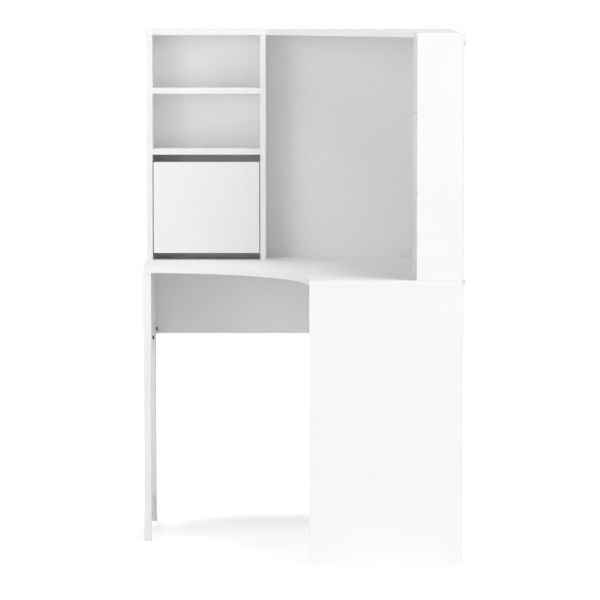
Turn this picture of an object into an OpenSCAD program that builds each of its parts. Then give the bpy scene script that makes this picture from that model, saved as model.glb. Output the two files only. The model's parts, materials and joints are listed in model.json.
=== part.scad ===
// Corner desk: an L-shaped desk with a curved front, a tall shelf unit (hutch) on its two
// wall sides, a cupboard under one wing and a tube leg frame under the other.
//
// Plan layout. The room corner is the reference: u runs from it along the rear wall and
// v along the side wall, both into the room, and z is up. The two wings are the same shape,
// so parts of the side wing are drawn as parts of the rear wing with u and v swapped.
// The finished desk has +X to the right, +Y to the rear wall, and its origin on the floor
// at the middle of its footprint.

/* [Overall] */
// Length of each wing, from the back boards to the outer face of its end panel
wing_len = 867; // [800:1:1000]
// Depth of each wing of the desk top, from the back boards
wing_d = 409; // [380:1:480]
// Height of the whole unit
total_h = 1420; // [1300:1:1500]
// Height of the desk top's upper face
desk_h = 766; // [700:1:800]

/* [Boards] */
// Thickness of the desk top, panels, dividers and shelves
board_t = 16; // [15:0.5:19]
// Thickness of the back boards
back_t = 3; // [2.5:0.5:4]
// Distance that the back boards stop short of the top and of the front ends
back_inset = 1; // [0.5:0.5:2]

/* [Desk top] */
// Straight run of the front edge at each wing's end, before the curve starts
front_straight = 10; // [5:1:40]
// Radius of the cable opening cut out of the rear corner
cable_r = 135; // [60:1:150]

/* [Leg side] */
// Outer width of the square tube of the leg frame and thickness of the panel above it
tube_w = 21; // [18:0.5:30]
// Wall of the tube
tube_wall = 1.5; // [1:0.1:2]
// Height of the side panel and of the panel along the rear wall
apron_h = 204; // [150:1:240]
// Height of the underside of the frame's lower rail
low_rail_z = 58; // [40:1:120]
// Thickness of the glide under each leg
glide_t = 3; // [2:0.5:6]
// Distance of the frame's rear bolt from the rear leg
rear_bolt_gap = 9; // [7:1:60]
// Distance of the frame's front bolt from the front leg
front_bolt_gap = 92; // [20:1:150]
// Height of the bolts' barrel nuts above the frame
barrel_nut_up = 14; // [12:1:20]
// Length of barrel nut that stands out of the panel's inner face
barrel_nut_proud = 4.5; // [2:0.5:6]

/* [Hutch] */
// Depth of the hutch's boards
hutch_d = 121; // [100:1:160]
// Clear width of the shelf unit at the end of each wing
unit_w = 306; // [280:1:340]
// Clear height of the top bay beside the rear wall
top_bay_h = 150; // [120:1:180]
// Clear height of the second bay beside the rear wall
second_bay_h = 157; // [120:1:180]
// Number of loose shelves in the unit beside the side wall
side_shelves = 2; // [1:1:3]

/* [Doors] */
// Thickness of the doors
door_t = 16; // [15:0.5:16]
// Gap between a door and the panels beside it
door_gap = 2.5; // [2.5:0.1:4]
// Finger gap above the hutch door
hutch_door_top_gap = 21; // [15:1:30]
// Gap below the hutch door
hutch_door_low_gap = 19; // [10:1:30]
// Finger gap above the cupboard door
cupboard_door_top_gap = 21; // [15:1:30]
// Gap below the cupboard door
cupboard_door_low_gap = 3; // [2:1:10]

/* [Cupboard] */
// Distance of the cupboard's front behind the edge of the end panel
cupboard_setback = 4; // [4:1:20]
// Height of the plinth under the cupboard
plinth_h = 60; // [40:1:100]
// Distance of the plinth behind the cupboard's front
plinth_setback = 40; // [20:1:60]

/* [Hinges] */
// Distance of the hinge axis behind the door's front face and in from its edge
axis_in = 5; // [5:0.1:5.5]
// Height of a hinge
hinge_h = 40; // [32:1:60]
// Distance of a hinge from the door's end
hinge_from_end = 45; // [30:1:80]
// Radius of the hinge barrel
barrel_r = 3; // [2.8:0.1:3.2]
// Radius of the hinge pin
hinge_pin_r = 1.5; // [1.2:0.1:1.8]
// Thickness of the hinge leaves
leaf_t = 1.5; // [1:0.1:1.6]
// Length of each leaf
leaf_len = 28; // [24:1:34]

/* [Fasteners] */
// Radius of the wooden dowels
dowel_r = 4; // [3:0.5:4]
// Length of the wooden dowels
dowel_len = 30; // [24:1:34]
// Radius of a cam lock
cam_r = 7.5; // [6:0.5:7.5]
// Depth of a cam lock
cam_h = 12; // [10:0.5:12.5]
// Distance of a cam lock's centre from the board's end
cam_in = 24; // [20:1:34]
// Radius of a cam lock's bolt
cam_bolt_r = 3; // [2.5:0.5:3.5]
// Radius of the shelf pins
shelf_pin_r = 2.5; // [2:0.5:3]
// Radius of the washer heads that hold the back boards
washer_head_r = 7; // [5:0.5:7.5]
// Height of those heads
washer_head_h = 3.5; // [2:0.5:4]

/* [Hidden] */
// Running clearance of a pin in its bore, and slip clearance of a fastener in its hole
run_gap = 0.05;
slip_gap = 0.1;
// Overshoot of a cut past the face that it opens
cut = 1;
$fn = 48;

// Heights
desk_under = desk_h - board_t;
top_under = total_h - board_t;
apron_z = desk_under - apron_h;
upper_shelf_z = top_under - top_bay_h - board_t;
lower_shelf_z = upper_shelf_z - second_bay_h - board_t;
floor_board_z = plinth_h;
cupboard_floor = floor_board_z + board_t;

// Distances from the room corner
hutch_front = back_t + hutch_d;
end_in = wing_len - board_t;
divider_in = end_in - unit_w;
divider_out = divider_in - board_t;
panel_in = wing_len - tube_w;
cupboard_front = wing_d - cupboard_setback;
wall_panel_in = board_t;
plinth_front = cupboard_front - plinth_setback;
arc_centre = wing_len - front_straight;
arc_r = arc_centre - wing_d;

// The footprint runs from the washer heads to the end panels' outer faces
middle = (wing_len - washer_head_h) / 2;

// Loose shelves: side clearance, setback and even spacing
shelf_play = 1;
shelf_setback = 2;
side_bay_h = (top_under - desk_h - side_shelves * board_t) / (side_shelves + 1);
function side_shelf_z(i) = desk_h + (i + 1) * side_bay_h + i * board_t;
cupboard_shelf_z = (cupboard_floor + desk_under - board_t) / 2;
pin_reach = 8;
pin_from_edge = 25;
rear_pin_at = back_t + pin_from_edge;

// Doors
hutch_door_z = desk_h + hutch_door_low_gap;
hutch_door_h = lower_shelf_z - hutch_door_top_gap - hutch_door_z;
cupboard_door_z = cupboard_floor + cupboard_door_low_gap;
cupboard_door_h = desk_under - cupboard_door_top_gap - cupboard_door_z;
stop_w = 12;
stop_h = 24;
stop_from_top = 70;

// Hinge: the wall leaf's barrel is the middle third, between the door leaf's two
barrel_gap = 0.3;
third = hinge_h / 3;
arm_t = 2;
pin_head_r = 2.6;
pin_head_h = 1;
// The door leaf's arms reach the barrels up to this distance from the axis
arm_from_axis = 1;
// Room round the barrels in the door's mortise: beside, in front and past each end
mortise_side_gap = 1;
mortise_front_gap = 0.4;
mortise_end = 1.5;
mortise_w = axis_in + barrel_r + mortise_side_gap;
mortise_skin = axis_in - barrel_r - mortise_front_gap;
// The wall leaf's plate starts this far behind the door
wall_leaf_gap = 2;
wall_leaf_y = door_t + wall_leaf_gap;
door_leaf_x = axis_in + barrel_r;
screw_r = 1.5;
screw_head_r = 3;
screw_head_h = 1.2;
screw_len = 12;
leaf_screw_shares = [0.3, 0.78];
leaf_screw_at = leaf_len * leaf_screw_shares;

// The cupboard's shelf stops short of the hinges
shelf_behind_hinge = 4;
cupboard_shelf_front = cupboard_front - wall_leaf_y - leaf_len - shelf_behind_hinge;

// Frame bolts, by their distance from the rear wall
frame_bolt_at = [tube_w + rear_bolt_gap, wing_d - tube_w - front_bolt_gap];
bolt_r = 3;
bolt_head_r = 5;
bolt_head_h = 3;
barrel_nut_r = 5;
barrel_nut_len = 18;
barrel_nut_z = apron_z + barrel_nut_up;
bolt_past_nut = 2;
bolt_end_z = barrel_nut_z + barrel_nut_r + bolt_past_nut;

// Back board screws: [distance from the room corner, height]
back_screw_r = 2;
back_screw_len = 22;
mid_end = wing_len - board_t / 2;
mid_divider = divider_out + board_t / 2;
desk_screw_drop = 4;
end_screw_drop = 26;
divider_screw_drop = 40;
desk_screw_z = desk_h - desk_screw_drop;
end_top_screw_z = total_h - end_screw_drop;
divider_top_screw_z = total_h - divider_screw_drop;
corner_screw_at = 180;
back_screws = [
    [mid_end, end_top_screw_z],
    [mid_divider, divider_top_screw_z],
    [corner_screw_at, total_h - board_t / 2],
    [mid_end, desk_screw_z],
    [mid_divider, desk_screw_z],
    [corner_screw_at, desk_screw_z]
];

// Wooden dowels under the desk top: their distances from the room corner along each panel,
// the [u, v] of each, and the share of a dowel's length that stands below the desk top
side_panel_dowels = [160, 330];
modesty_dowels = [300, 650];
wall_panel_dowels = [260, 480];
cupboard_dowels = [160, 350];
rear_board_mid = back_t + board_t / 2;
low_dowels = concat(
    [for (v = side_panel_dowels) [panel_in + tube_w / 2, v]],
    [for (u = modesty_dowels) [u, rear_board_mid]],
    [for (v = wall_panel_dowels) [wall_panel_in / 2, v]],
    [for (v = [mid_divider, mid_end], u = cupboard_dowels) [u, v]]
);
low_dowel_share = 0.6;

// Dowels of the hutch: their distances from the rear wall, and their length inside the desk
// top or the top board
hutch_dowel_shares = [0.25, 0.75];
hutch_dowel_at = [for (share = hutch_dowel_shares) back_t + hutch_d * share];
hutch_dowel_in = 10;

// Cam locks, [u, v, z, turn, roll] of each: where the board's end meets the panel, the way
// that its bolt points, and the roll that puts the lock in the board's hidden face
hutch_mid = back_t + hutch_d / 2;
top_cam_spread = 32;
top_cam_at = [hutch_mid - top_cam_spread, hutch_mid + top_cam_spread];
floor_cam_at = [80, 320];
panel_cam_shares = [0.3, 0.7];
panel_cam_z = [for (share = panel_cam_shares) apron_z + apron_h * share];
cams = concat(
    [for (v = top_cam_at) [end_in, v, top_under, 0, 0]],
    [for (u = top_cam_at) [u, end_in, top_under, 90, 0]],
    [for (z = [upper_shelf_z, lower_shelf_z]) [end_in, hutch_mid, z, 0, 0]],
    [for (z = [upper_shelf_z, lower_shelf_z]) [divider_in, hutch_mid, z, 180, 0]],
    [for (u = floor_cam_at) [u, end_in, floor_board_z, 90, 0]],
    [for (u = floor_cam_at) [u, divider_in, floor_board_z, 270, 0]],
    [for (z = panel_cam_z) [panel_in, back_t, z, 0, -90]],
    [for (z = panel_cam_z) [wall_panel_in, back_t, z, 180, 90]]
);
cam_bolt_reach = 10;

white = [0.95, 0.95, 0.95];
shade = [0.88, 0.88, 0.88];
steel = [0.6, 0.6, 0.62];

// ---- Placing ----

// From the room corner's u, v to the finished desk's X, Y
module from_corner() {
    translate([middle, middle, 0]) rotate([0, 0, 180]) children();
}

// The side wing is the rear wing with u and v swapped
module side_wing() {
    mirror([1, -1, 0]) children();
}

// A board between two opposite corners
module board(low, high) {
    translate(low) cube(high - low);
}

// ---- Holes that the fasteners sit in ----

module low_dowel_shapes(gap) {
    for (p = low_dowels)
        translate([p[0], p[1], desk_under - dowel_len * low_dowel_share - gap])
            cylinder(r = dowel_r + gap, h = dowel_len + 2 * gap);
}

// Dowels under and over the hutch's uprights in one wing
module hutch_dowel_shapes(gap) {
    for (v = hutch_dowel_at, u = [mid_end, mid_divider])
        translate([u, v, desk_h - hutch_dowel_in - gap])
            cylinder(r = dowel_r + gap, h = dowel_len + 2 * gap);
    for (v = hutch_dowel_at)
        translate([mid_divider, v, top_under + hutch_dowel_in - dowel_len - gap])
            cylinder(r = dowel_r + gap, h = dowel_len + 2 * gap);
}

module at_cams() {
    for (c = cams) translate([c[0], c[1], c[2]]) rotate([c[4], 0, c[3]]) children();
}

// A cam lock's recess opens in the board's face, and its bolt's hole in the board's end
module cam_holes() {
    at_cams() {
        translate([-cam_in, 0, -cut]) cylinder(r = cam_r + slip_gap, h = cam_h + cut);
        translate([-cam_in, 0, board_t / 2]) rotate([0, 90, 0])
            cylinder(r = cam_bolt_r + slip_gap, h = cam_in + cam_bolt_reach);
    }
}

module back_screw_shafts(r) {
    for (p = back_screws)
        translate([p[0], 0, p[1]]) rotate([-90, 0, 0]) cylinder(r = r, h = back_screw_len);
}

// Screw holes of the back boards, in both wings
module back_screw_holes() {
    back_screw_shafts(back_screw_r + slip_gap);
    side_wing() back_screw_shafts(back_screw_r + slip_gap);
}

// ---- Shelves on pins ----

module shelf_pins_under(front, z) {
    for (v = [rear_pin_at, front - pin_from_edge], u = [divider_in, end_in])
        translate([u - pin_reach, v, z - shelf_pin_r]) rotate([0, 90, 0])
            cylinder(r = shelf_pin_r, h = 2 * pin_reach);
}

module shelf_pin_holes(front, z) {
    for (v = [rear_pin_at, front - pin_from_edge])
        translate([divider_in - pin_reach, v, z - shelf_pin_r]) rotate([0, 90, 0])
            cylinder(r = shelf_pin_r + run_gap, h = unit_w + 2 * pin_reach);
}

module loose_shelf(back, front, z) {
    board([divider_in + shelf_play, back, z],
          [end_in - shelf_play, front - shelf_setback, z + board_t]);
}

// ---- Doors and hinges, drawn for the rear wing ----

// A hinge's own frame: x runs in from the door's edge, y back from its front, z up
module at_hinge(front, z) {
    translate([end_in - door_gap, front, z]) rotate([0, 0, 180]) children();
}

// Heights of a door's two hinges, which move towards the ends on a low door
function hinge_zs(z, h) =
    let (from_end = min(hinge_from_end, (h - 2 * hinge_h) / 3))
    [z + from_end, z + h - from_end - hinge_h];

module wood_screw() {
    cylinder(r = screw_head_r, h = screw_head_h);
    translate([0, 0, -screw_len]) cylinder(r = screw_r, h = screw_len + screw_head_h / 2);
}

module at_wall_leaf_screws() {
    for (s = leaf_screw_at)
        translate([leaf_t - door_gap, wall_leaf_y + s, hinge_h / 2]) rotate([0, 90, 0]) children();
}

module at_door_leaf_screws() {
    for (s = leaf_screw_at)
        translate([door_leaf_x + s, door_t + leaf_t, hinge_h / 2]) rotate([-90, 0, 0]) children();
}

module screw_hole() {
    translate([0, 0, -screw_len - slip_gap])
        cylinder(r = screw_r + slip_gap, h = screw_len + 2 * slip_gap);
}

// Leaf on the end panel: a plate, and an arm that comes to the axis from behind the door
module wall_leaf() {
    difference() {
        union() {
            board([-door_gap, wall_leaf_y, 0], [leaf_t - door_gap, wall_leaf_y + leaf_len, hinge_h]);
            board([-door_gap, wall_leaf_y, third], [axis_in + arm_t / 2, wall_leaf_y + arm_t, 2 * third]);
            board([axis_in - arm_t / 2, axis_in, third],
                  [axis_in + arm_t / 2, wall_leaf_y + arm_t, 2 * third]);
            translate([axis_in, axis_in, third]) cylinder(r = barrel_r, h = third);
        }
        translate([axis_in, axis_in, third - cut])
            cylinder(r = hinge_pin_r + run_gap, h = third + 2 * cut);
        at_wall_leaf_screws() screw_hole();
    }
}

// Leaf on the door's back, with a barrel above and one below the other leaf's
module door_leaf() {
    difference() {
        union() {
            board([door_leaf_x, door_t, 0], [door_leaf_x + leaf_len, door_t + leaf_t, hinge_h]);
            for (z = [0, 2 * third + barrel_gap]) {
                board([axis_in + arm_from_axis, axis_in, z],
                      [door_leaf_x, door_t + leaf_t, z + third - barrel_gap]);
                translate([axis_in, axis_in, z]) cylinder(r = barrel_r, h = third - barrel_gap);
            }
        }
        translate([axis_in, axis_in, -cut])
            cylinder(r = hinge_pin_r + run_gap, h = hinge_h + 2 * cut);
        at_door_leaf_screws() screw_hole();
    }
}

module hinge_pin() {
    translate([axis_in, axis_in, 0]) {
        cylinder(r = hinge_pin_r, h = hinge_h);
        translate([0, 0, hinge_h]) cylinder(r = pin_head_r, h = pin_head_h);
    }
}

// A door between two panels, with a mortise for each hinge cut from its edge and back
module door_board(front, z, h) {
    difference() {
        board([divider_in + door_gap, front - door_t, z], [end_in - door_gap, front, z + h]);
        for (hinge_z = hinge_zs(z, h)) at_hinge(front, hinge_z) {
            board([-cut, mortise_skin, -mortise_end],
                  [mortise_w, door_t + cut, hinge_h + mortise_end]);
            at_door_leaf_screws() screw_hole();
        }
    }
}

// A small stop on the divider, behind the door's free edge
module door_stop(front, z, h) {
    stop_z = z + h - stop_from_top;
    board([divider_in, front - door_t - stop_w, stop_z],
          [divider_in + stop_w, front - door_t, stop_z + stop_h]);
}

module wall_leaf_screw_holes(front, z, h) {
    for (hinge_z = hinge_zs(z, h)) at_hinge(front, hinge_z) at_wall_leaf_screws() screw_hole();
}

// The two doors' places
module on_hutch(i) {
    at_hinge(hutch_front, hinge_zs(hutch_door_z, hutch_door_h)[i]) children();
}

module on_cupboard(i) {
    side_wing() at_hinge(cupboard_front, hinge_zs(cupboard_door_z, cupboard_door_h)[i]) children();
}

// ---- Desk ----

module tabletop() {
    color(white) from_corner() difference() {
        translate([0, 0, desk_under]) linear_extrude(board_t) difference() {
            translate([back_t, back_t]) square(wing_len - back_t);
            translate([arc_centre, arc_centre]) circle(r = arc_r, $fn = 240);
            translate([arc_centre, wing_d]) square(wing_len);
            translate([wing_d, arc_centre]) square(wing_len);
            circle(r = cable_r, $fn = 96);
        }
        low_dowel_shapes(slip_gap);
        hutch_dowel_shapes(slip_gap);
        side_wing() hutch_dowel_shapes(slip_gap);
        back_screw_holes();
    }
}

module left_side_panel() {
    color(white) from_corner() difference() {
        board([panel_in, 0, apron_z], [wing_len, wing_d, desk_under]);
        low_dowel_shapes(slip_gap);
        cam_holes();
        frame_bolt_holes();
    }
}

module modesty_panel() {
    color(white) from_corner() difference() {
        board([wall_panel_in, back_t, apron_z], [panel_in, back_t + board_t, desk_under]);
        low_dowel_shapes(slip_gap);
        cam_holes();
    }
}

// ---- Leg frame ----

// The frame's bars in its own plane, or the room inside them when inset by the tube's wall
module frame_bars(inset, foot_z) {
    low_u = panel_in + inset;
    high_u = wing_len - inset;
    for (v = [0, wing_d - tube_w])
        board([low_u, v + inset, foot_z], [high_u, v + tube_w - inset, apron_z - inset]);
    for (z = [low_rail_z, apron_z - tube_w])
        board([low_u, inset, z + inset], [high_u, wing_d - inset, z + tube_w - inset]);
}

module at_frame_bolts() {
    for (v = frame_bolt_at) translate([panel_in + tube_w / 2, v, 0]) children();
}

module frame_bolt_holes() {
    at_frame_bolts() {
        translate([0, 0, apron_z - tube_w - cut])
            cylinder(r = bolt_r + slip_gap, h = bolt_end_z - apron_z + tube_w + cut + slip_gap);
        translate([-tube_w / 2 - cut, 0, barrel_nut_z]) rotate([0, 90, 0])
            cylinder(r = barrel_nut_r + slip_gap, h = barrel_nut_len - barrel_nut_proud + cut);
    }
}

module leg_frame() {
    color(white) from_corner() difference() {
        frame_bars(0, glide_t);
        frame_bars(tube_wall, glide_t - cut);
        frame_bolt_holes();
    }
}

module leg_glides() {
    plug = tube_w - 2 * tube_wall - 2 * slip_gap;
    plug_h = 15;
    color(shade) from_corner() for (v = [0, wing_d - tube_w]) {
        board([panel_in, v, 0], [wing_len, v + tube_w, glide_t]);
        translate([panel_in + (tube_w - plug) / 2, v + (tube_w - plug) / 2, glide_t])
            cube([plug, plug, plug_h]);
    }
}

module leg_frame_bolts() {
    color(steel) from_corner() at_frame_bolts() {
        translate([0, 0, apron_z - tube_w - bolt_head_h]) cylinder(r = bolt_head_r, h = bolt_head_h);
        translate([0, 0, apron_z - tube_w]) cylinder(r = bolt_r, h = bolt_end_z - apron_z + tube_w);
    }
}

module leg_frame_barrel_nuts() {
    color(steel) from_corner() difference() {
        at_frame_bolts() translate([-tube_w / 2 - barrel_nut_proud, 0, barrel_nut_z])
            rotate([0, 90, 0]) cylinder(r = barrel_nut_r, h = barrel_nut_len);
        at_frame_bolts() translate([0, 0, apron_z])
            cylinder(r = bolt_r + slip_gap, h = 2 * barrel_nut_up);
    }
}

// ---- Cupboard side ----

module right_wall_panel() {
    color(white) from_corner() difference() {
        board([0, 0, 0], [wall_panel_in, end_in, desk_under]);
        low_dowel_shapes(slip_gap);
        cam_holes();
    }
}

// Everything that the cupboard's two side panels are drilled for
module cupboard_panel_holes() {
    low_dowel_shapes(slip_gap);
    cam_holes();
    side_wing() {
        shelf_pin_holes(cupboard_shelf_front, cupboard_shelf_z);
        wall_leaf_screw_holes(cupboard_front, cupboard_door_z, cupboard_door_h);
    }
}

module cupboard_end_panel() {
    color(white) from_corner() difference() {
        board([0, end_in, 0], [wing_d, wing_len, desk_under]);
        cupboard_panel_holes();
    }
}

module cupboard_inner_panel() {
    color(white) from_corner() difference() {
        board([wall_panel_in, divider_out, 0], [cupboard_front, divider_in, desk_under]);
        cupboard_panel_holes();
    }
}

module cupboard_floor_board() {
    color(white) from_corner() difference() {
        board([wall_panel_in, divider_in, floor_board_z], [cupboard_front, end_in, cupboard_floor]);
        cam_holes();
    }
}

module cupboard_plinth() {
    color(white) from_corner()
        board([plinth_front - board_t, divider_in, 0], [plinth_front, end_in, plinth_h]);
}

module cupboard_shelf() {
    color(white) from_corner() side_wing()
        loose_shelf(wall_panel_in, cupboard_shelf_front, cupboard_shelf_z);
}

module cupboard_shelf_pins() {
    color(steel) from_corner() side_wing()
        shelf_pins_under(cupboard_shelf_front, cupboard_shelf_z);
}

module cupboard_door() {
    color(white) from_corner() side_wing()
        door_board(cupboard_front, cupboard_door_z, cupboard_door_h);
}

module cupboard_door_stop() {
    color(shade) from_corner() side_wing()
        door_stop(cupboard_front, cupboard_door_z, cupboard_door_h);
}

module cupboard_upper_wall_leaf() {
    color(steel) from_corner() on_cupboard(1) wall_leaf();
}

module cupboard_upper_door_leaf() {
    color(steel) from_corner() on_cupboard(1) door_leaf();
}

module cupboard_upper_hinge_pin() {
    color(steel) from_corner() on_cupboard(1) hinge_pin();
}

module cupboard_lower_wall_leaf() {
    color(steel) from_corner() on_cupboard(0) wall_leaf();
}

module cupboard_lower_door_leaf() {
    color(steel) from_corner() on_cupboard(0) door_leaf();
}

module cupboard_lower_hinge_pin() {
    color(steel) from_corner() on_cupboard(0) hinge_pin();
}

module cupboard_wall_leaf_screws() {
    color(steel) from_corner() for (i = [0, 1]) on_cupboard(i) at_wall_leaf_screws() wood_screw();
}

module cupboard_door_leaf_screws() {
    color(steel) from_corner() for (i = [0, 1]) on_cupboard(i) at_door_leaf_screws() wood_screw();
}

// ---- Hutch ----

module hutch_end_panel() {
    difference() {
        board([end_in, back_t, desk_h], [wing_len, hutch_front, total_h]);
        hutch_dowel_shapes(slip_gap);
        back_screw_shafts(back_screw_r + slip_gap);
    }
}

module hutch_divider() {
    difference() {
        board([divider_out, back_t, desk_h], [divider_in, hutch_front, top_under]);
        hutch_dowel_shapes(slip_gap);
        back_screw_shafts(back_screw_r + slip_gap);
    }
}

module hutch_left_end_panel() {
    color(white) from_corner() difference() {
        hutch_end_panel();
        cam_holes();
        wall_leaf_screw_holes(hutch_front, hutch_door_z, hutch_door_h);
    }
}

module hutch_left_divider() {
    color(white) from_corner() difference() {
        hutch_divider();
        cam_holes();
    }
}

module fixed_shelf(z) {
    difference() {
        board([divider_in, back_t, z], [end_in, hutch_front, z + board_t]);
        cam_holes();
    }
}

module hutch_upper_shelf() {
    color(white) from_corner() fixed_shelf(upper_shelf_z);
}

module hutch_lower_shelf() {
    color(white) from_corner() fixed_shelf(lower_shelf_z);
}

module hutch_door() {
    color(white) from_corner() door_board(hutch_front, hutch_door_z, hutch_door_h);
}

module hutch_door_stop() {
    color(shade) from_corner() door_stop(hutch_front, hutch_door_z, hutch_door_h);
}

module hutch_upper_wall_leaf() {
    color(steel) from_corner() on_hutch(1) wall_leaf();
}

module hutch_upper_door_leaf() {
    color(steel) from_corner() on_hutch(1) door_leaf();
}

module hutch_upper_hinge_pin() {
    color(steel) from_corner() on_hutch(1) hinge_pin();
}

module hutch_lower_wall_leaf() {
    color(steel) from_corner() on_hutch(0) wall_leaf();
}

module hutch_lower_door_leaf() {
    color(steel) from_corner() on_hutch(0) door_leaf();
}

module hutch_lower_hinge_pin() {
    color(steel) from_corner() on_hutch(0) hinge_pin();
}

module hutch_wall_leaf_screws() {
    color(steel) from_corner() for (i = [0, 1]) on_hutch(i) at_wall_leaf_screws() wood_screw();
}

module hutch_door_leaf_screws() {
    color(steel) from_corner() for (i = [0, 1]) on_hutch(i) at_door_leaf_screws() wood_screw();
}

// The top board spans both units, with a straight diagonal edge across the corner
module hutch_top_board() {
    color(white) from_corner() difference() {
        translate([0, 0, top_under]) linear_extrude(board_t) polygon([
            [back_t, back_t],
            [end_in, back_t],
            [end_in, hutch_front],
            [divider_out, hutch_front],
            [hutch_front, divider_out],
            [hutch_front, end_in],
            [back_t, end_in]
        ]);
        cam_holes();
        hutch_dowel_shapes(slip_gap);
        side_wing() hutch_dowel_shapes(slip_gap);
        back_screw_holes();
    }
}

module hutch_right_end_panel() {
    color(white) from_corner() difference() {
        side_wing() difference() {
            hutch_end_panel();
            side_shelf_pin_holes();
        }
        cam_holes();
    }
}

module hutch_right_divider() {
    color(white) from_corner() side_wing() difference() {
        hutch_divider();
        side_shelf_pin_holes();
    }
}

module side_shelf_pin_holes() {
    for (i = [0 : side_shelves - 1]) shelf_pin_holes(hutch_front, side_shelf_z(i));
}

module hutch_side_shelves() {
    color(white) from_corner() side_wing()
        for (i = [0 : side_shelves - 1]) loose_shelf(back_t, hutch_front, side_shelf_z(i));
}

module hutch_shelf_pins() {
    color(steel) from_corner() side_wing()
        for (i = [0 : side_shelves - 1]) shelf_pins_under(hutch_front, side_shelf_z(i));
}

module rear_back_board() {
    color(shade) from_corner() difference() {
        board([0, 0, desk_under], [wing_len - back_inset, back_t, total_h - back_inset]);
        back_screw_holes();
    }
}

module right_back_board() {
    color(shade) from_corner() difference() {
        board([0, back_t, desk_under], [back_t, wing_len - back_inset, total_h - back_inset]);
        back_screw_holes();
    }
}

// ---- Fasteners ----

module back_screws_in_wing() {
    for (p = back_screws) translate([p[0], 0, p[1]]) rotate([-90, 0, 0]) {
        translate([0, 0, -washer_head_h]) cylinder(r = washer_head_r, h = washer_head_h);
        cylinder(r = back_screw_r, h = back_screw_len);
    }
}

module back_board_screws() {
    color(steel) from_corner() {
        back_screws_in_wing();
        side_wing() back_screws_in_wing();
    }
}

module cam_locks() {
    color(steel) from_corner() at_cams() translate([-cam_in, 0, 0]) cylinder(r = cam_r, h = cam_h);
}

module cam_bolts() {
    bolt_start = cam_in - cam_r;
    color(steel) from_corner() at_cams() translate([-bolt_start, 0, board_t / 2]) rotate([0, 90, 0])
        cylinder(r = cam_bolt_r, h = bolt_start + cam_bolt_reach);
}

module wooden_dowels() {
    color("burlywood") from_corner() {
        low_dowel_shapes(0);
        hutch_dowel_shapes(0);
        side_wing() hutch_dowel_shapes(0);
    }
}

tabletop();
left_side_panel();
leg_frame();
leg_glides();
leg_frame_bolts();
leg_frame_barrel_nuts();
modesty_panel();
right_wall_panel();
cupboard_end_panel();
cupboard_inner_panel();
cupboard_floor_board();
cupboard_plinth();
cupboard_shelf();
cupboard_shelf_pins();
cupboard_door();
cupboard_door_stop();
cupboard_upper_wall_leaf();
cupboard_upper_door_leaf();
cupboard_upper_hinge_pin();
cupboard_lower_wall_leaf();
cupboard_lower_door_leaf();
cupboard_lower_hinge_pin();
cupboard_wall_leaf_screws();
cupboard_door_leaf_screws();
hutch_left_end_panel();
hutch_left_divider();
hutch_upper_shelf();
hutch_lower_shelf();
hutch_door();
hutch_door_stop();
hutch_upper_wall_leaf();
hutch_upper_door_leaf();
hutch_upper_hinge_pin();
hutch_lower_wall_leaf();
hutch_lower_door_leaf();
hutch_lower_hinge_pin();
hutch_wall_leaf_screws();
hutch_door_leaf_screws();
hutch_top_board();
hutch_right_end_panel();
hutch_right_divider();
hutch_side_shelves();
hutch_shelf_pins();
rear_back_board();
right_back_board();
back_board_screws();
cam_locks();
cam_bolts();
wooden_dowels();
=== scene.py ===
# Looks of the corner desk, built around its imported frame. Metres, +X right, +Y to the wall, +Z up.
import json
import math

import bmesh
import bpy
from mathutils import Matrix, Vector

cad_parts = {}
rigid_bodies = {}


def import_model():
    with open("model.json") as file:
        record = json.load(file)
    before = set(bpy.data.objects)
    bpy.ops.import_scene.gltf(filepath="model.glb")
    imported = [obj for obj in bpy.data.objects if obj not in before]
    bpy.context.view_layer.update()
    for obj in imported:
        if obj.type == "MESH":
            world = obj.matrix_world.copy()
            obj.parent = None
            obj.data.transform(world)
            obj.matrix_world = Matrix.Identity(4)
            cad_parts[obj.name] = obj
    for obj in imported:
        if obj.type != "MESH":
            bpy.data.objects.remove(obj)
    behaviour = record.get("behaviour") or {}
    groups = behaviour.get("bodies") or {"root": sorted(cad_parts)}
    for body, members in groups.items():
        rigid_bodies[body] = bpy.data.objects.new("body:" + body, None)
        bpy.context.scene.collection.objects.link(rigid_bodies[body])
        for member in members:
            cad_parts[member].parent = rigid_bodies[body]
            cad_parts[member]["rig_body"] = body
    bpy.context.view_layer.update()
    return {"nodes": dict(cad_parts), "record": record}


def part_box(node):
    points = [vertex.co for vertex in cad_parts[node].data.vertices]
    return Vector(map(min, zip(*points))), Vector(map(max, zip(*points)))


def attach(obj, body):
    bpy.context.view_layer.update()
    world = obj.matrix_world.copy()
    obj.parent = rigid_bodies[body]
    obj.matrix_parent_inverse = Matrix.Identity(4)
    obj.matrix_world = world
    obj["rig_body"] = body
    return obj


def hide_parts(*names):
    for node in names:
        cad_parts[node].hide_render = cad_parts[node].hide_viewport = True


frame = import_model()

MM = 0.001
SHARP_ANGLE = math.radians(35)
BEVEL_ANGLE = math.radians(50)
BEVEL_SEGMENTS = 3

scene = bpy.context.scene
nodes = frame["nodes"]


# ---- Node helpers ----

def new_material(name):
    """A material with an empty node tree but for its Principled shader and output."""
    material = bpy.data.materials.new(name)
    material.use_nodes = True
    tree = material.node_tree
    tree.nodes.clear()
    output = tree.nodes.new("ShaderNodeOutputMaterial")
    shader = tree.nodes.new("ShaderNodeBsdfPrincipled")
    tree.links.new(shader.outputs["BSDF"], output.inputs["Surface"])
    return material, tree, shader


def set_inputs(node, values):
    for socket, value in values.items():
        node.inputs[socket].default_value = value


def object_point(tree):
    return tree.nodes.new("ShaderNodeTexCoord").outputs["Object"]


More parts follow.
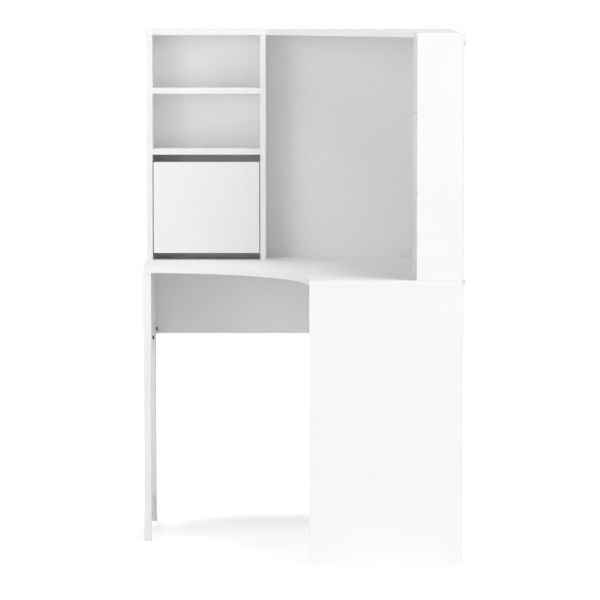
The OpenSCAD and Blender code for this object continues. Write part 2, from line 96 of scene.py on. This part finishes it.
def noise(tree, scale, detail=4.0, roughness=0.55, stretch=(1, 1, 1)):
    """Noise in object space; scale is per metre, and stretch squeezes an axis."""
    mapping = tree.nodes.new("ShaderNodeMapping")
    mapping.inputs["Scale"].default_value = stretch
    tree.links.new(object_point(tree), mapping.inputs["Vector"])
    texture = tree.nodes.new("ShaderNodeTexNoise")
    texture.inputs["Scale"].default_value = scale
    texture.inputs["Detail"].default_value = detail
    texture.inputs["Roughness"].default_value = roughness
    tree.links.new(mapping.outputs["Vector"], texture.inputs["Vector"])
    return texture.outputs["Fac"]


def remap(tree, value, low, high):
    """Spreads a 0.3 to 0.7 signal over low to high."""
    node = tree.nodes.new("ShaderNodeMapRange")
    set_inputs(node, {"From Min": 0.3, "From Max": 0.7, "To Min": low, "To Max": high})
    tree.links.new(value, node.inputs["Value"])
    return node.outputs["Result"]


def mix_colors(tree, factor, first, second):
    node = tree.nodes.new("ShaderNodeMix")
    node.data_type = "RGBA"
    tree.links.new(factor, node.inputs["Factor"])
    for socket, color in (("A", first), ("B", second)):
        target = next(s for s in node.inputs if s.name == socket and s.type == "RGBA")
        if isinstance(color, tuple):
            target.default_value = (*color, 1)
        else:
            tree.links.new(color, target)
    return next(s for s in node.outputs if s.type == "RGBA")


def bump(tree, shader, height, strength, distance):
    node = tree.nodes.new("ShaderNodeBump")
    node.inputs["Strength"].default_value = strength
    node.inputs["Distance"].default_value = distance
    tree.links.new(height, node.inputs["Height"])
    tree.links.new(node.outputs["Normal"], shader.inputs["Normal"])


# ---- Materials ----

def white_foil():
    """White foil pressed on board: satin, with a very fine grain in the press plate."""
    material, tree, shader = new_material("white_foil")
    cloud = noise(tree, 6, detail=2)
    color = mix_colors(tree, cloud, (0.83, 0.832, 0.835), (0.855, 0.856, 0.855))
    tree.links.new(color, shader.inputs["Base Color"])
    grain = noise(tree, 900, detail=3)
    tree.links.new(remap(tree, grain, 0.38, 0.50), shader.inputs["Roughness"])
    shader.inputs["Specular IOR Level"].default_value = 0.25
    bump(tree, shader, grain, 0.10, 0.0002)
    return material


def edge_band_highlight():
    """The edge strip's rounded corner: a little glossier than the board, and coloured a little
    lighter than its white as a painted highlight along the edge.
    """
    material, tree, shader = new_material("edge_band_highlight")
    streak = noise(tree, 250, detail=2)
    # Painted highlight: the rounded edge is coloured a little lighter than the board's white
    color = mix_colors(tree, streak, (0.845, 0.846, 0.848), (0.865, 0.865, 0.862))
    tree.links.new(color, shader.inputs["Base Color"])
    tree.links.new(remap(tree, streak, 0.28, 0.36), shader.inputs["Roughness"])
    bump(tree, shader, streak, 0.05, 0.0002)
    return material


FACE_TOLERANCE = 5 * MM


def hardboard():
    """White painted hardboard: paint on the room's side, bare fibre on the back and the edges."""
    material, tree, shader = new_material("painted_hardboard")
    fibre = noise(tree, 320, detail=6, roughness=0.65)
    bare = mix_colors(tree, fibre, (0.76, 0.735, 0.69), (0.86, 0.845, 0.81))
    paint = mix_colors(tree, fibre, (0.83, 0.83, 0.83), (0.85, 0.85, 0.85))
    # The two faces that look into the room are the only ones that face the origin from about
    # as far away as the side board's inner face
    facing = tree.nodes.new("ShaderNodeVectorMath")
    facing.operation = "DOT_PRODUCT"
    tree.links.new(tree.nodes.new("ShaderNodeNewGeometry").outputs["True Normal"],
                   facing.inputs[0])
    tree.links.new(object_point(tree), facing.inputs[1])
    painted = tree.nodes.new("ShaderNodeMath")
    painted.operation = "COMPARE"
    painted.inputs[1].default_value = -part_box("right_back_board")[0].x
    painted.inputs[2].default_value = FACE_TOLERANCE
    tree.links.new(facing.outputs["Value"], painted.inputs[0])
    tree.links.new(mix_colors(tree, painted.outputs[0], bare, paint),
                   shader.inputs["Base Color"])
    tree.links.new(remap(tree, fibre, 0.45, 0.62), shader.inputs["Roughness"])
    bump(tree, shader, fibre, 0.15, 0.0003)
    return material


def powder_coat():
    """White powder coat on steel tube: satin with a fine orange peel."""
    material, tree, shader = new_material("powder_coat")
    peel = noise(tree, 700, detail=1)
    cloud = noise(tree, 9, detail=2)
    color = mix_colors(tree, cloud, (0.82, 0.822, 0.825), (0.85, 0.85, 0.85))
    tree.links.new(color, shader.inputs["Base Color"])
    tree.links.new(remap(tree, peel, 0.30, 0.42), shader.inputs["Roughness"])
    shader.inputs["Coat Weight"].default_value = 0.15
    shader.inputs["Coat Roughness"].default_value = 0.25
    bump(tree, shader, peel, 0.18, 0.0003)
    return material


def plated_steel(name, dark, light, rough_low, rough_high):
    """Zinc plated steel: metal with a cloudy passivated film."""
    material, tree, shader = new_material(name)
    cloud = noise(tree, 180, detail=5)
    tree.links.new(mix_colors(tree, cloud, dark, light), shader.inputs["Base Color"])
    shader.inputs["Metallic"].default_value = 1.0
    tree.links.new(remap(tree, cloud, rough_low, rough_high), shader.inputs["Roughness"])
    bump(tree, shader, noise(tree, 1500, detail=2), 0.10, 0.0001)
    return material


def white_plastic():
    material, tree, shader = new_material("white_plastic")
    grain = noise(tree, 1200, detail=2)
    color = mix_colors(tree, grain, (0.80, 0.80, 0.79), (0.84, 0.84, 0.83))
    tree.links.new(color, shader.inputs["Base Color"])
    tree.links.new(remap(tree, grain, 0.40, 0.52), shader.inputs["Roughness"])
    bump(tree, shader, grain, 0.12, 0.0002)
    return material


def washer_paint():
    material, tree, shader = new_material("painted_washer")
    grain = noise(tree, 600, detail=3)
    tree.links.new(mix_colors(tree, grain, (0.58, 0.56, 0.51), (0.68, 0.66, 0.61)),
                   shader.inputs["Base Color"])
    tree.links.new(remap(tree, grain, 0.38, 0.50), shader.inputs["Roughness"])
    bump(tree, shader, grain, 0.10, 0.0002)
    return material


def beech():
    """Bare turned beech with its rays along the dowel."""
    material, tree, shader = new_material("beech")
    rays = noise(tree, 400, detail=4, stretch=(1, 1, 0.12))
    tree.links.new(mix_colors(tree, rays, (0.58, 0.40, 0.23), (0.74, 0.56, 0.36)),
                   shader.inputs["Base Color"])
    tree.links.new(remap(tree, rays, 0.55, 0.70), shader.inputs["Roughness"])
    bump(tree, shader, rays, 0.2, 0.0003)
    return material


MATERIALS = {
    "white_board": white_foil(),
    "back_board": hardboard(),
    "white_steel": powder_coat(),
    "white_plastic": white_plastic(),
    "dark_zinc": plated_steel("dark_zinc", (0.05, 0.05, 0.055), (0.12, 0.12, 0.13), 0.35, 0.5),
    "zinc": plated_steel("zinc", (0.50, 0.51, 0.53), (0.70, 0.70, 0.71), 0.25, 0.42),
    "painted_washer": washer_paint(),
    "beech": beech(),
}
EDGE = edge_band_highlight()


# ---- CAD nodes: their own shape, with softened edges and a finish ----

EDGE_RADIUS = {
    "white_board": 0.8 * MM,
    "back_board": 0.2 * MM,
    "white_steel": 2.0 * MM,
    "white_plastic": 0.6 * MM,
    "dark_zinc": 0.8 * MM,
    "zinc": 0.25 * MM,
    "painted_washer": 1.2 * MM,
    "beech": 1.0 * MM,
}
# Less than half of the thin skin that a door keeps in front of its hinges
DOOR_EDGE_RADIUS = 0.5 * MM
MERGE_DISTANCE = 0.01 * MM
FLAT_ANGLE = math.radians(0.5)


def edge_bevel(item, radius):
    bevel = item.modifiers.new("edge_radius", "BEVEL")
    bevel.width = radius
    bevel.segments = BEVEL_SEGMENTS
    bevel.limit_method = "ANGLE"
    bevel.angle_limit = BEVEL_ANGLE
    bevel.harden_normals = True
    return bevel


def soften(node, radius, edge_slot):
    """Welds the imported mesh, frees its flat faces of their inner edges and rounds its corners."""
    weld = node.modifiers.new("weld", "WELD")
    weld.merge_threshold = MERGE_DISTANCE
    flat = node.modifiers.new("flat_faces", "DECIMATE")
    flat.decimate_type = "DISSOLVE"
    flat.angle_limit = FLAT_ANGLE
    bevel = edge_bevel(node, radius)
    bevel.use_clamp_overlap = False
    bevel.material = edge_slot
    node.modifiers.new("normals", "WEIGHTED_NORMAL").keep_sharp = True


slot_of = {part["node"]: part["material_slot"] for part in frame["record"]["subparts"]}
for name, node in nodes.items():
    slot = slot_of[name]
    node.data.materials.clear()
    node.data.materials.append(MATERIALS[slot])
    edge_slot = -1
    if slot == "white_board":
        # The white boards' rounded edges get the edge strip, coloured a little lighter as a painted
        # highlight
        node.data.materials.append(EDGE)
        edge_slot = 1
    radius = DOOR_EDGE_RADIUS if name.endswith("_door") else EDGE_RADIUS[slot]
    soften(node, radius, edge_slot)


# ---- Fittings: turned and cut pieces in place of the plain CAD fasteners ----

def turned(profile, steps=48, flute=0.0):
    """Closed mesh turned about z from (radius, height) points that run up from axis to axis."""
    form = bmesh.new()
    rings = []
    for radius, height in profile:
        ring = []
        for step in range(steps if radius else 1):
            angle = 2 * math.pi * step / steps
            r = radius - flute * (step % 2)
            ring.append(form.verts.new((r * math.cos(angle), r * math.sin(angle), height)))
        rings.append(ring)
    for low, high in zip(rings, rings[1:]):
        for step in range(steps):
            after = (step + 1) % steps
            corners = [low[step % len(low)], low[after % len(low)],
                       high[after % len(high)], high[step % len(high)]]
            form.faces.new(list(dict.fromkeys(corners)))
    return finished_mesh(form, "turned")


def smooth(mesh):
    """Smooth shading, broken at the sharp edges."""
    mesh.shade_smooth()
    mesh.set_sharp_from_angle(angle=SHARP_ANGLE)


def finished_mesh(form, name):
    """The mesh of a closed form, with outward normals and smooth round faces."""
    bmesh.ops.recalc_face_normals(form, faces=form.faces)
    mesh = bpy.data.meshes.new(name)
    form.to_mesh(mesh)
    form.free()
    smooth(mesh)
    return mesh


def prism(outline, low, high, shrink=1.0):
    """Closed mesh of an outline drawn up from low, where it is shrunk, to high."""
    form = bmesh.new()
    foot = [form.verts.new((x * shrink, y * shrink, low)) for x, y in outline]
    head = [form.verts.new((x, y, high)) for x, y in outline]
    form.faces.new(foot)
    form.faces.new(head)
    for i in range(len(outline)):
        j = (i + 1) % len(outline)
        form.faces.new((foot[i], foot[j], head[j], head[i]))
    return finished_mesh(form, "prism")


def cross_outline(reach, half):
    """Outline of a cross with arms of that reach and half width."""
    quarter = [(half, half), (reach, half), (reach, -half)]
    points = []
    for turn in range(4):
        for x, y in quarter:
            for _ in range(turn):
                x, y = y, -x
            points.append((x, y))
    return points


def hexagon(radius):
    return [(radius * math.cos(math.radians(60 * i)), radius * math.sin(math.radians(60 * i)))
            for i in range(6)]


def rectangle(half_x, half_y):
    return [(-half_x, -half_y), (half_x, -half_y), (half_x, half_y), (-half_x, half_y)]


def carved(solid, *cutters, added=()):
    """A closed mesh with others joined on and then others cut out."""
    base = bpy.data.objects.new("carved", solid)
    scene.collection.objects.link(base)
    tools = []
    for operation, meshes in (("UNION", added), ("DIFFERENCE", cutters)):
        for mesh in meshes:
            tool = bpy.data.objects.new("tool", mesh)
            scene.collection.objects.link(tool)
            step = base.modifiers.new("step", "BOOLEAN")
            step.operation = operation
            step.solver = "EXACT"
            step.object = tool
            tools.append(tool)
    graph = bpy.context.evaluated_depsgraph_get()
    mesh = bpy.data.meshes.new_from_object(base.evaluated_get(graph))
    for item in (base, *tools):
        bpy.data.objects.remove(item)
    smooth(mesh)
    return mesh


def bar(low, high, axis, radius):
    """Closed square bar along an axis between two opposite corners, its long edges rounded."""
    first, second = [i for i in range(3) if i != axis]
    arc = 6
    outline = []
    for corner, (side, rise) in enumerate(((1, 1), (-1, 1), (-1, -1), (1, -1))):
        centre = [(high if side > 0 else low)[first] - side * radius,
                  (high if rise > 0 else low)[second] - rise * radius]
        for step in range(arc + 1):
            angle = math.radians(90) * (corner + step / arc)
            outline.append((centre[0] + radius * math.cos(angle),
                            centre[1] + radius * math.sin(angle)))
    form = bmesh.new()
    ends = []
    for level in (low[axis], high[axis]):
        ring = []
        for a, b in outline:
            point = [0.0, 0.0, 0.0]
            point[first], point[second], point[axis] = a, b, level
            ring.append(form.verts.new(point))
        form.faces.new(ring)
        ends.append(ring)
    for i in range(len(outline)):
        j = (i + 1) % len(outline)
        form.faces.new((ends[0][i], ends[0][j], ends[1][j], ends[1][i]))
    return finished_mesh(form, "bar")


def solids(name):
    """Lowest and highest corner of each separate solid of a CAD node."""
    form = bmesh.new()
    form.from_mesh(nodes[name].data)
    bmesh.ops.remove_doubles(form, verts=form.verts, dist=0.001 * MM)
    left = set(form.verts)
    found = []
    while left:
        group, front = [], [left.pop()]
        while front:
            vertex = front.pop()
            group.append(vertex.co.copy())
            for edge in vertex.link_edges:
                other = edge.other_vert(vertex)
                if other in left:
                    left.remove(other)
                    front.append(other)
        found.append((Vector(map(min, zip(*group))), Vector(map(max, zip(*group)))))
    form.free()
    return sorted(found, key=lambda box: tuple(round(c, 5) for c in box[0]))


def add_piece(name, mesh, slot, node):
    """Adds a detailed piece that stands for a CAD node and rides where it does."""
    piece = bpy.data.objects.new(name, mesh)
    scene.collection.objects.link(piece)
    mesh.materials.clear()
    mesh.materials.append(MATERIALS[slot])
    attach(piece, nodes[node]["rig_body"])
    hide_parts(node)
    return piece


def fit_copies(node, part, faces, across=False, spin=0.0):
    """Puts a part in place of each solid of a node. The part's outer end is at its own z 0.

    faces says which way along each axis the outer end looks, and the part's axis lies along
    the solid's longest side, or across it for a flat one. spin turns each one a bit further.
    """
    form = bmesh.new()
    for count, (low, high) in enumerate(solids(node)):
        size = high - low
        pick = min if across else max
        axis = pick(range(3), key=lambda i: size[i])
        outward = Vector((0, 0, 0))
        outward[axis] = faces[axis]
        place = (low + high) / 2
        place[axis] = high[axis] if faces[axis] > 0 else low[axis]
        copy = part.copy()
        copy.transform(Matrix.Translation(place)
                       @ outward.to_track_quat("Z", "Y").to_matrix().to_4x4()
                       @ Matrix.Rotation(spin * count, 4, "Z"))
        form.from_mesh(copy)
        bpy.data.meshes.remove(copy)
    mesh = bpy.data.meshes.new(node)
    form.to_mesh(mesh)
    form.free()
    smooth(mesh)
    return add_piece(node + "_detailed", mesh, slot_of[node], node)


def scaled(points):
    """Millimetre points of a profile in metres."""
    return [(x * MM, y * MM) for x, y in points]


# The bore of a frame bolt, and half its length through a nut and through the rail, in mm
BORE_RADIUS = 3.1
NUT_BORE_HALF = 6
RAIL_BORE_HALF = 12


def bore_form(half_length):
    """Round tool that cuts a frame bolt's bore, centred on its own origin."""
    return turned(scaled([(0, -half_length), (BORE_RADIUS, -half_length),
                          (BORE_RADIUS, half_length), (0, half_length)]))


# Profiles are (radius, height) points in millimetres, with the outer end at height 0.
# Drives and slots are cut from a little outside that end.
OUTSIDE = 0.5 * MM

# Painted cup washer on its screw: a rolled rim, a ring groove and a countersunk cross head
washer_screw = carved(
    turned(scaled([(0, -25.5), (0.4, -25.2), (1.9, -21.5), (2, -20), (2, -3.5), (6.6, -3.5),
                   (7, -3.1), (7, -2.5), (6.7, -1.7), (6.0, -1.0), (5.0, -0.55), (4.3, -0.45),
                   (4.0, -0.85), (3.8, -0.85), (3.5, -0.4), (2.4, -0.1), (1.2, 0), (0, 0)])),
    prism(scaled(cross_outline(2.3, 0.5)), -2.2 * MM, OUTSIDE, 0.45))
fit_copies("back_board_screws", washer_screw, {0: 1, 1: 1}, spin=0.61)

# Pan head wood screw of the hinges
wood_screw = carved(
    turned(scaled([(0, -13.2), (0.2, -13), (1.4, -10), (1.5, -9), (1.5, -1.2), (2.9, -1.2),
                   (3, -1.05), (2.9, -0.6), (2.4, -0.2), (1.5, -0.03), (0, 0)])),
    prism(scaled(cross_outline(1.6, 0.36)), -1.0 * MM, OUTSIDE, 0.5))
for door in ("hutch", "cupboard"):
    for leaf in ("wall", "door"):
        fit_copies(f"{door}_{leaf}_leaf_screws", wood_screw, {0: 1, 1: 1}, spin=0.47)

# Button head bolt with a hexagon socket
bolt_low, bolt_high = solids("leg_frame_bolts")[0]
bolt_len = (bolt_high.z - bolt_low.z) / MM
frame_bolt = carved(
    turned(scaled([(0, -bolt_len), (2.2, -bolt_len), (3, 0.8 - bolt_len), (3, -3), (4.8, -3),
                   (5, -2.8), (5, -2.2), (4.7, -1.4), (4.0, -0.7), (3.0, -0.2), (2.4, 0),
                   (0, 0)])),
    prism(scaled(hexagon(2.3)), -1.9 * MM, OUTSIDE))
fit_copies("leg_frame_bolts", frame_bolt, {2: -1}, spin=0.35)

# Barrel nut: slotted on its outer end, with the bolt's bore across it
nut_low, nut_high = solids("leg_frame_barrel_nuts")[0]
bore_at = (bolt_low.x + bolt_high.x) / 2 - nut_high.x
nut_len = (nut_high.x - nut_low.x) / MM
bore = bore_form(NUT_BORE_HALF)
bore.transform(Matrix.Translation((0, 0, bore_at)) @ Matrix.Rotation(math.radians(90), 4, "X"))
barrel_nut = carved(
    turned(scaled([(0, -nut_len), (4.5, -nut_len), (5, 0.5 - nut_len), (5, -0.5), (4.5, 0),
                   (0, 0)])),
    prism(scaled(rectangle(6, 0.7)), -1.2 * MM, OUTSIDE), bore)
fit_copies("leg_frame_barrel_nuts", barrel_nut, {0: 1})

# Cam lock: a cast disc with a stepped face and a cross drive
cam_lock = carved(
    turned(scaled([(0, -12), (7.1, -12), (7.5, -11.6), (7.5, -0.5), (7.1, 0), (6.2, 0),
                   (6.0, -0.35), (5.4, -0.35), (5.2, 0), (0, 0)])),
    prism(scaled(cross_outline(3.6, 0.8)), -3 * MM, OUTSIDE, 0.6))
fit_copies("cam_locks", cam_lock, {1: 1, 2: -1}, across=True, spin=0.19)

# Shelf pin with a ring at the panel's face and rounded ends
pin_low, pin_high = solids("hutch_shelf_pins")[0]
pin_len = max(pin_high - pin_low) / MM
ring_at = -pin_len / 2
shelf_pin = turned(scaled([
    (0, -pin_len), (1.6, -pin_len), (2.3, 0.5 - pin_len), (2.5, 1.2 - pin_len),
    (2.5, ring_at - 0.6), (2.2, ring_at - 0.4), (2.2, ring_at + 0.4), (2.5, ring_at + 0.6),
    (2.5, -1.2), (2.3, -0.5), (1.6, 0), (0, 0)]), steps=40)
for name in ("hutch_shelf_pins", "cupboard_shelf_pins"):
    fit_copies(name, shelf_pin, {0: 1, 1: 1})

# Fluted dowel with chamfered ends
dowel = turned(scaled([(0, -30), (3, -30), (3.95, -28.6), (3.95, -1.4), (3, 0), (0, 0)]),
               steps=36, flute=0.3 * MM)
fit_copies("wooden_dowels", dowel, {2: 1}, spin=0.23)

# Leg frame of rounded square tube: two legs and two rails, hollow, with the bolts' bores
TUBE_RADIUS = 2.5 * MM
TUBE_WALL = 1.5 * MM
LOW_RAIL_Z = 58 * MM
frame_low, frame_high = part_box("leg_frame")
TUBE = frame_high.x - frame_low.x


def frame_bars(inset, foot, radius):
    """The frame's four bars, or the room inside them when inset by the tube's wall."""
    low_x, high_x = frame_low.x + inset, frame_high.x - inset
    bars = []
    for leg_y in (frame_low.y, frame_high.y - TUBE):
        bars.append(bar((low_x, leg_y + inset, foot),
                        (high_x, leg_y + TUBE - inset, frame_high.z - inset), 2, radius))
    reach = inset + (0 if inset else TUBE / 2)
    for rail_z in (LOW_RAIL_Z, frame_high.z - TUBE):
        bars.append(bar((low_x, frame_low.y + reach, rail_z + inset),
                        (high_x, frame_high.y - reach, rail_z + TUBE - inset), 1, radius))
    return bars


def bolt_bores():
    """Bores of the frame's bolts through its upper rail."""
    bores = []
    for low, high in solids("leg_frame_bolts"):
        bore = bore_form(RAIL_BORE_HALF)
        bore.transform(Matrix.Translation(((low.x + high.x) / 2, (low.y + high.y) / 2,
                                           frame_high.z - TUBE / 2)))
        bores.append(bore)
    return bores


outer = frame_bars(0, frame_low.z, TUBE_RADIUS)
inner = frame_bars(TUBE_WALL, frame_low.z - MM, TUBE_RADIUS - TUBE_WALL)
frame_mesh = carved(outer[0], *inner, *bolt_bores(), added=outer[1:])
add_piece("leg_frame_detailed", frame_mesh, "white_steel", "leg_frame")


GLIDE_PLATE = 3 * MM
GLIDE_PLAY = 0.1 * MM
GLIDE_EDGE_RADIUS = 0.5 * MM


def make_glides():
    """Glides with the tube's rounded outline and a plug that fills the leg."""
    form = bmesh.new()
    for low, high in solids("leg_glides"):
        top = low.z + GLIDE_PLATE
        inset = TUBE_WALL + GLIDE_PLAY
        plate = bar(low, (high.x, high.y, top), 2, TUBE_RADIUS)
        plug = bar((low.x + inset, low.y + inset, top - MM),
                   (high.x - inset, high.y - inset, high.z), 2, TUBE_RADIUS - TUBE_WALL)
        glide = carved(plate, added=[plug])
        form.from_mesh(glide)
        bpy.data.meshes.remove(glide)
    piece = add_piece("leg_glides_detailed", finished_mesh(form, "leg_glides"),
                      "white_plastic", "leg_glides")
    edge_bevel(piece, GLIDE_EDGE_RADIUS)


make_glides()


WELD_RADIUS = 1.7 * MM
WELD_RIPPLE = 2.3 * MM
WELD_SIDES = 10
WELD_RINGS = 48


def weld_bead(form, start, end, lean):
    """A rippled bead of weld between two points, leaning out of the corner that it fills."""
    start, end = Vector(start), Vector(end)
    along = end - start
    across = lean.cross(along).normalized()
    turns = [2 * math.pi * k / WELD_SIDES for k in range(WELD_SIDES)]
    loops = []
    for i in range(WELD_RINGS + 1):
        share = i / WELD_RINGS
        wave = 2 * math.pi * share * along.length / WELD_RIPPLE
        swell = WELD_RADIUS * (1 + 0.1 * math.sin(wave))
        # Full along its length and drawn in at both ends
        swell *= math.sqrt(max(0.05, 1 - (2 * share - 1) ** 8))
        centre = start + along * share
        loops.append([form.verts.new(centre + lean * swell * math.cos(turn)
                                     + across * swell * math.sin(turn))
                      for turn in turns])
    for low, high in zip(loops, loops[1:]):
        for k in range(WELD_SIDES):
            after = (k + 1) % WELD_SIDES
            form.faces.new((low[k], low[after], high[after], high[k]))
    form.faces.new(loops[0])
    form.faces.new(loops[-1])


def make_welds():
    """Weld beads in the corners where the frame's rails meet its legs."""
    start_x = frame_low.x + TUBE_RADIUS
    end_x = frame_high.x - TUBE_RADIUS
    form = bmesh.new()
    for leg_y, towards in ((frame_low.y + TUBE, 1), (frame_high.y - TUBE, -1)):
        for z, up in ((LOW_RAIL_Z, -1), (LOW_RAIL_Z + TUBE, 1), (frame_high.z - TUBE, -1)):
            lean = Vector((0, towards, up)).normalized()
            weld_bead(form, (start_x, leg_y, z), (end_x, leg_y, z), lean)
    bmesh.ops.recalc_face_normals(form, faces=form.faces)
    mesh = bpy.data.meshes.new("leg_frame_welds")
    form.to_mesh(mesh)
    form.free()
    mesh.shade_smooth()
    mesh.materials.append(MATERIALS["white_steel"])
    piece = bpy.data.objects.new("leg_frame_welds", mesh)
    scene.collection.objects.link(piece)
    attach(piece, "root")


make_welds()


# ---- Stage ----

FLOOR_HALF = 6.0
FLOOR_GREY = 0.93
FLOOR_GREY_LIGHT = 0.95
GLOW_CENTRE = (0, -0.1, 0)
GLOW_SPREAD = {"From Min": 0.5, "From Max": 0.95, "To Min": 0.37, "To Max": 1.0}
BOUNCE_DROP = 2 * MM


def make_floor(name, z, seen):
    """A pale floor. One is what the camera sees. The other, just under it, is what lights the
    desk from below, so that the floor shows white without shining up at the desk. The seen
    floor glows, and most away from the desk, as one that rolls up into a lit backdrop."""
    half = FLOOR_HALF
    mesh = bpy.data.meshes.new(name)
    corners = [(-half, -2 * half, z), (half, -2 * half, z), (half, half, z), (-half, half, z)]
    mesh.from_pydata(corners, [], [(0, 1, 2, 3)])
    floor = bpy.data.objects.new(name, mesh)
    scene.collection.objects.link(floor)
    material, tree, shader = new_material(name)
    grain = noise(tree, 40, detail=3)
    color = mix_colors(tree, grain, (FLOOR_GREY,) * 3, (FLOOR_GREY_LIGHT,) * 3)
    tree.links.new(color, shader.inputs["Base Color"])
    shader.inputs["Roughness"].default_value = 0.9
    shader.inputs["Specular IOR Level"].default_value = 0.1
    if seen:
        shader.inputs["Emission Color"].default_value = (1, 1, 1, 1)
        reach = tree.nodes.new("ShaderNodeVectorMath")
        reach.operation = "DISTANCE"
        reach.inputs[1].default_value = GLOW_CENTRE
        tree.links.new(object_point(tree), reach.inputs[0])
        spread = tree.nodes.new("ShaderNodeMapRange")
        spread.interpolation_type = "SMOOTHSTEP"
        set_inputs(spread, GLOW_SPREAD)
        tree.links.new(reach.outputs["Value"], spread.inputs["Value"])
        tree.links.new(spread.outputs["Result"], shader.inputs["Emission Strength"])
    floor.data.materials.append(material)
    floor.visible_camera = seen
    floor.visible_diffuse = not seen
    floor.visible_glossy = not seen
    floor.visible_shadow = not seen


def make_world(below, above):
    """Studio surround: one brightness below the horizon and another above it."""
    world = bpy.data.worlds.new("studio")
    scene.world = world
    world.use_nodes = True
    tree = world.node_tree
    background = tree.nodes["Background"]
    split = tree.nodes.new("ShaderNodeSeparateXYZ")
    tree.links.new(tree.nodes.new("ShaderNodeTexCoord").outputs["Generated"],
                   split.inputs["Vector"])
    ramp = tree.nodes.new("ShaderNodeMapRange")
    ramp.interpolation_type = "SMOOTHSTEP"
    set_inputs(ramp, {"From Min": 0.0, "From Max": 0.35, "To Min": below, "To Max": above})
    tree.links.new(split.outputs["Z"], ramp.inputs["Value"])
    background.inputs["Color"].default_value = (1, 1, 1, 1)
    tree.links.new(ramp.outputs["Result"], background.inputs["Strength"])


LIGHT_TARGET = Vector((0, 0, 0.7))
LIGHT_DISTANCE = 12.0
LIGHT_SIZE = 5.0


def make_light(name, turn, rise, power):
    """A round soft box, turned to the right of the desk's front and raised by those degrees."""
    turn = math.radians(turn)
    rise = math.radians(rise)
    away = Vector((math.cos(rise) * math.sin(turn), -math.cos(rise) * math.cos(turn),
                   math.sin(rise)))
    light = bpy.data.lights.new(name, "AREA")
    light.shape = "DISK"
    light.size = LIGHT_SIZE
    light.energy = power
    item = bpy.data.objects.new(name, light)
    item.location = LIGHT_TARGET + away * LIGHT_DISTANCE
    item.rotation_euler = (-away).to_track_quat("-Z", "Y").to_euler()
    item.visible_camera = False
    scene.collection.objects.link(item)


# The photo's camera: its place, its lens in millimetres and where it looks in degrees
CAMERA_PLACE = (-0.02325, -10.254, 1.563)
CAMERA_LENS = 223.125
CAMERA_SENSOR = 36
CAMERA_DOWN = 4.937
CAMERA_RIGHT = 0.125
CAMERA_CLIP_END = 100


def make_camera():
    data = bpy.data.cameras.new("camera")
    data.sensor_width = CAMERA_SENSOR
    data.lens = CAMERA_LENS
    data.clip_end = CAMERA_CLIP_END
    camera = bpy.data.objects.new("camera", data)
    camera.location = CAMERA_PLACE
    camera.rotation_euler = (math.radians(90 - CAMERA_DOWN), 0, math.radians(-CAMERA_RIGHT))
    scene.collection.objects.link(camera)
    scene.camera = camera


make_floor("floor", 0.0, True)
make_floor("floor_bounce", -BOUNCE_DROP, False)
make_world(1.01, 0.38)
make_light("key", 55, 65, 640)
make_light("top_left", -36, 60, 255)
make_light("left_fill", -35, 10, 197)
make_light("right_fill", 48, 22, 198)
make_camera()
# Light reaches the back of the open bays only after several bounces
scene.cycles.diffuse_bounces = 8
scene.view_settings.view_transform = "Standard"
scene.view_settings.look = "None"
